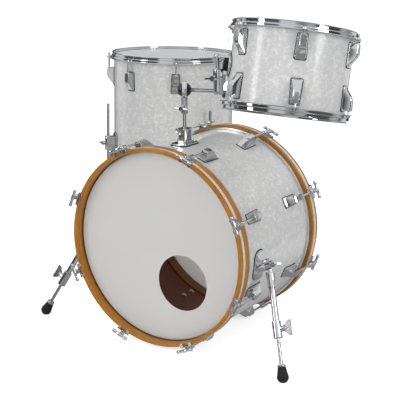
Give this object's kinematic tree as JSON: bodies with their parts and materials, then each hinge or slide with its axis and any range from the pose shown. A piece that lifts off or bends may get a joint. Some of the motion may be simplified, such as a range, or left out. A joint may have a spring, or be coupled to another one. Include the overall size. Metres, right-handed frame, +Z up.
{
  "type": "drum kit",
  "caption": "Acoustic drum kit shell set: bass drum on folding spurs, rack tom on a swivel holder and floor tom on sliding legs, in white pearl with maple hoops and chrome.",
  "frame": {"origin": "middle of the footprint, on the floor", "axes": "+Z up; the front head of the bass drum looks along -Y; the floor tom is toward -X and +Y"},
  "size_m": [1.206, 1.1526, 0.8759],
  "materials": {
    "pearl": "polished white pearl sheet",
    "maple_lacquer": "amber lacquered maple",
    "shell_wood": "stained maple plies",
    "head_film": "smooth white drumhead film",
    "flesh_metal": "bright drawn ring",
    "rubber": "moulded black rubber",
    "ball_plastic": "moulded black plastic",
    "steel": "plated steel",
    "chrome": "polished chrome plate"
  },
  "bodies": {
    "bass_drum": {"bass_shell": "shell_wood", "bass_wrap": "pearl", "bass_front_hoop": "maple_lacquer", "bass_rear_hoop": "maple_lacquer", "bass_hoop_inlays": "pearl", "bass_front_head": "head_film", "bass_batter_head": "head_film", "bass_flesh_hoops": "flesh_metal", "bass_lugs": "chrome", "bass_lug_screws": "steel", "bass_claws": "chrome", "bass_t_rods": "chrome", "spur_brackets": "chrome", "holder_base": "chrome"},
    "spur_left": {"spur_tube_left": "chrome"},
    "spur_left_rod": {"spur_rod_left": "chrome", "spur_foot_left": "rubber"},
    "spur_left_wing": {"spur_wing_left": "chrome"},
    "spur_left_nut": {"spur_pivot_wing_left": "chrome"},
    "spur_right": {"spur_tube_right": "chrome"},
    "spur_right_rod": {"spur_rod_right": "chrome", "spur_foot_right": "rubber"},
    "spur_right_wing": {"spur_wing_right": "chrome"},
    "spur_right_nut": {"spur_pivot_wing_right": "chrome"},
    "holder_base_lock": {"holder_base_lock": "chrome"},
    "holder_post": {"holder_post": "chrome"},
    "holder_head": {"holder_head": "chrome"},
    "holder_head_lock": {"holder_head_lock": "chrome"},
    "holder_ball": {"holder_ball": "ball_plastic"},
    "holder_arm": {"holder_arm": "chrome"},
    "holder_arm_wing": {"holder_arm_wing": "chrome"},
    "rack_tom": {"tom_bracket": "chrome", "tom_shell": "shell_wood", "tom_wrap": "pearl", "tom_top_hoop": "chrome", "tom_bottom_hoop": "chrome", "tom_batter_head": "head_film", "tom_resonant_head": "head_film", "tom_lugs": "chrome", "tom_tension_rods": "chrome", "tom_lug_screws": "steel"},
    "floor_tom": {"floor_tom_shell": "shell_wood", "floor_tom_wrap": "pearl", "floor_tom_top_hoop": "chrome", "floor_tom_bottom_hoop": "chrome", "floor_tom_batter_head": "head_film", "floor_tom_resonant_head": "head_film", "floor_tom_lugs": "chrome", "floor_tom_tension_rods": "chrome", "floor_tom_lug_screws": "steel", "floor_tom_leg_brackets": "chrome"},
    "floor_leg_a": {"floor_tom_leg_a": "chrome", "floor_tom_foot_a": "rubber"},
    "floor_wing_a": {"floor_tom_wing_a": "chrome"},
    "floor_leg_b": {"floor_tom_leg_b": "chrome", "floor_tom_foot_b": "rubber"},
    "floor_wing_b": {"floor_tom_wing_b": "chrome"},
    "floor_leg_c": {"floor_tom_leg_c": "chrome", "floor_tom_foot_c": "rubber"},
    "floor_wing_c": {"floor_tom_wing_c": "chrome"}
  },
  "joints": [
    {"name": "spur_left_fold", "type": "hinge", "parent": "bass_drum", "child": "spur_left", "pos_m": [-0.1293, -0.44353, 0.25241], "axis": [0.8931, -0.1291, -0.4309], "range_deg": [0, 80]},
    {"name": "spur_left_reach", "type": "slide", "parent": "spur_left", "child": "spur_left_rod", "axis": [-0.4498, -0.2563, -0.8556], "range_m": [-0.055, 0.02]},
    {"name": "spur_left_wing_turn", "type": "hinge", "parent": "spur_left", "child": "spur_left_wing", "pos_m": [-0.20531, -0.48684, 0.10782], "axis": [-0.8931, 0.1291, 0.4309], "range_deg": [0, 180]},
    {"name": "spur_left_nut_turn", "type": "hinge", "parent": "bass_drum", "child": "spur_left_nut", "pos_m": [-0.1293, -0.44353, 0.25241], "axis": [-0.8931, 0.1291, 0.4309], "range_deg": [0, 180]},
    {"name": "spur_right_fold", "type": "hinge", "parent": "bass_drum", "child": "spur_right", "pos_m": [0.43931, -0.44353, 0.25241], "axis": [0.9293, 0.1624, 0.3317], "range_deg": [0, 80]},
    {"name": "spur_right_reach", "type": "slide", "parent": "spur_right", "child": "spur_right_rod", "axis": [0.3693, -0.4087, -0.8346], "range_m": [-0.055, 0.02]},
    {"name": "spur_right_wing_turn", "type": "hinge", "parent": "spur_right", "child": "spur_right_wing", "pos_m": [0.50173, -0.5126, 0.11136], "axis": [0.9293, 0.1624, 0.3317], "range_deg": [0, 180]},
    {"name": "spur_right_nut_turn", "type": "hinge", "parent": "bass_drum", "child": "spur_right_nut", "pos_m": [0.43931, -0.44353, 0.25241], "axis": [0.9293, 0.1624, 0.3317], "range_deg": [0, 180]},
    {"name": "base_lock_turn", "type": "hinge", "parent": "bass_drum", "child": "holder_base_lock", "pos_m": [0.15501, -0.39821, 0.55371], "axis": [-1, 0, 0], "range_deg": [0, 180]},
    {"name": "post_height", "type": "slide", "parent": "bass_drum", "child": "holder_post", "axis": [0, 0.0209, 0.9998], "range_m": [-0.03, 0.045]},
    {"name": "holder_swivel", "type": "hinge", "parent": "holder_post", "child": "holder_head", "pos_m": [0.15501, -0.3968, 0.62139], "axis": [0, 0.0209, 0.9998], "range_deg": [-40, 40]},
    {"name": "head_lock_turn", "type": "hinge", "parent": "holder_head", "child": "holder_head_lock", "pos_m": [0.15501, -0.3968, 0.62139], "axis": [0, -0.9998, 0.0209], "range_deg": [0, 180]},
    {"name": "ball_tilt", "type": "hinge", "parent": "holder_head", "child": "holder_ball", "pos_m": [0.15501, -0.39579, 0.66938], "axis": [0.2623, 0.9648, -0.0202], "range_deg": [-15, 10]},
    {"name": "arm_roll", "type": "hinge", "parent": "holder_ball", "child": "holder_arm", "pos_m": [0.15501, -0.39579, 0.66938], "axis": [0.9613, -0.2594, 0.0926], "range_deg": [-20, 20]},
    {"name": "arm_wing_turn", "type": "hinge", "parent": "holder_arm", "child": "holder_arm_wing", "pos_m": [0.27965, -0.42871, 0.71551], "axis": [-0.2623, -0.9648, 0.0202], "range_deg": [0, 180]},
    {"name": "tom_turn", "type": "hinge", "parent": "holder_arm", "child": "rack_tom", "pos_m": [0.27521, -0.4264, 0.76815], "axis": [-0.0841, 0.0437, 0.9955], "range_deg": [-15, 15]},
    {"name": "floor_tom_lift", "type": "slide", "parent": "bass_drum", "child": "floor_tom", "axis": [0, 0, 1], "range_m": [0, 0.3]},
    {"name": "floor_leg_a_height", "type": "slide", "parent": "floor_tom", "child": "floor_leg_a", "axis": [0, 0.0523, 0.9986], "range_m": [-0.12, 0.1]},
    {"name": "floor_wing_a_turn", "type": "hinge", "parent": "floor_tom", "child": "floor_wing_a", "pos_m": [-0.52432, 0.1445, 0.34441], "axis": [-0.6428, -0.765, 0.0401], "range_deg": [0, 180]},
    {"name": "floor_leg_b_height", "type": "slide", "parent": "floor_tom", "child": "floor_leg_b", "axis": [0, 0.0523, 0.9986], "range_m": [-0.12, 0.1]},
    {"name": "floor_wing_b_turn", "type": "hinge", "parent": "floor_tom", "child": "floor_wing_b", "pos_m": [-0.16761, 0.22674, 0.3401], "axis": [0.9135, -0.4062, 0.0213], "range_deg": [0, 180]},
    {"name": "floor_leg_c_height", "type": "slide", "parent": "floor_tom", "child": "floor_leg_c", "axis": [0, 0.0523, 0.9986], "range_m": [-0.12, 0.1]},
    {"name": "floor_wing_c_turn", "type": "hinge", "parent": "floor_tom", "child": "floor_wing_c", "pos_m": [-0.41679, 0.54524, 0.32341], "axis": [-0.1736, 0.9835, -0.0515], "range_deg": [0, 180]}
  ]
}
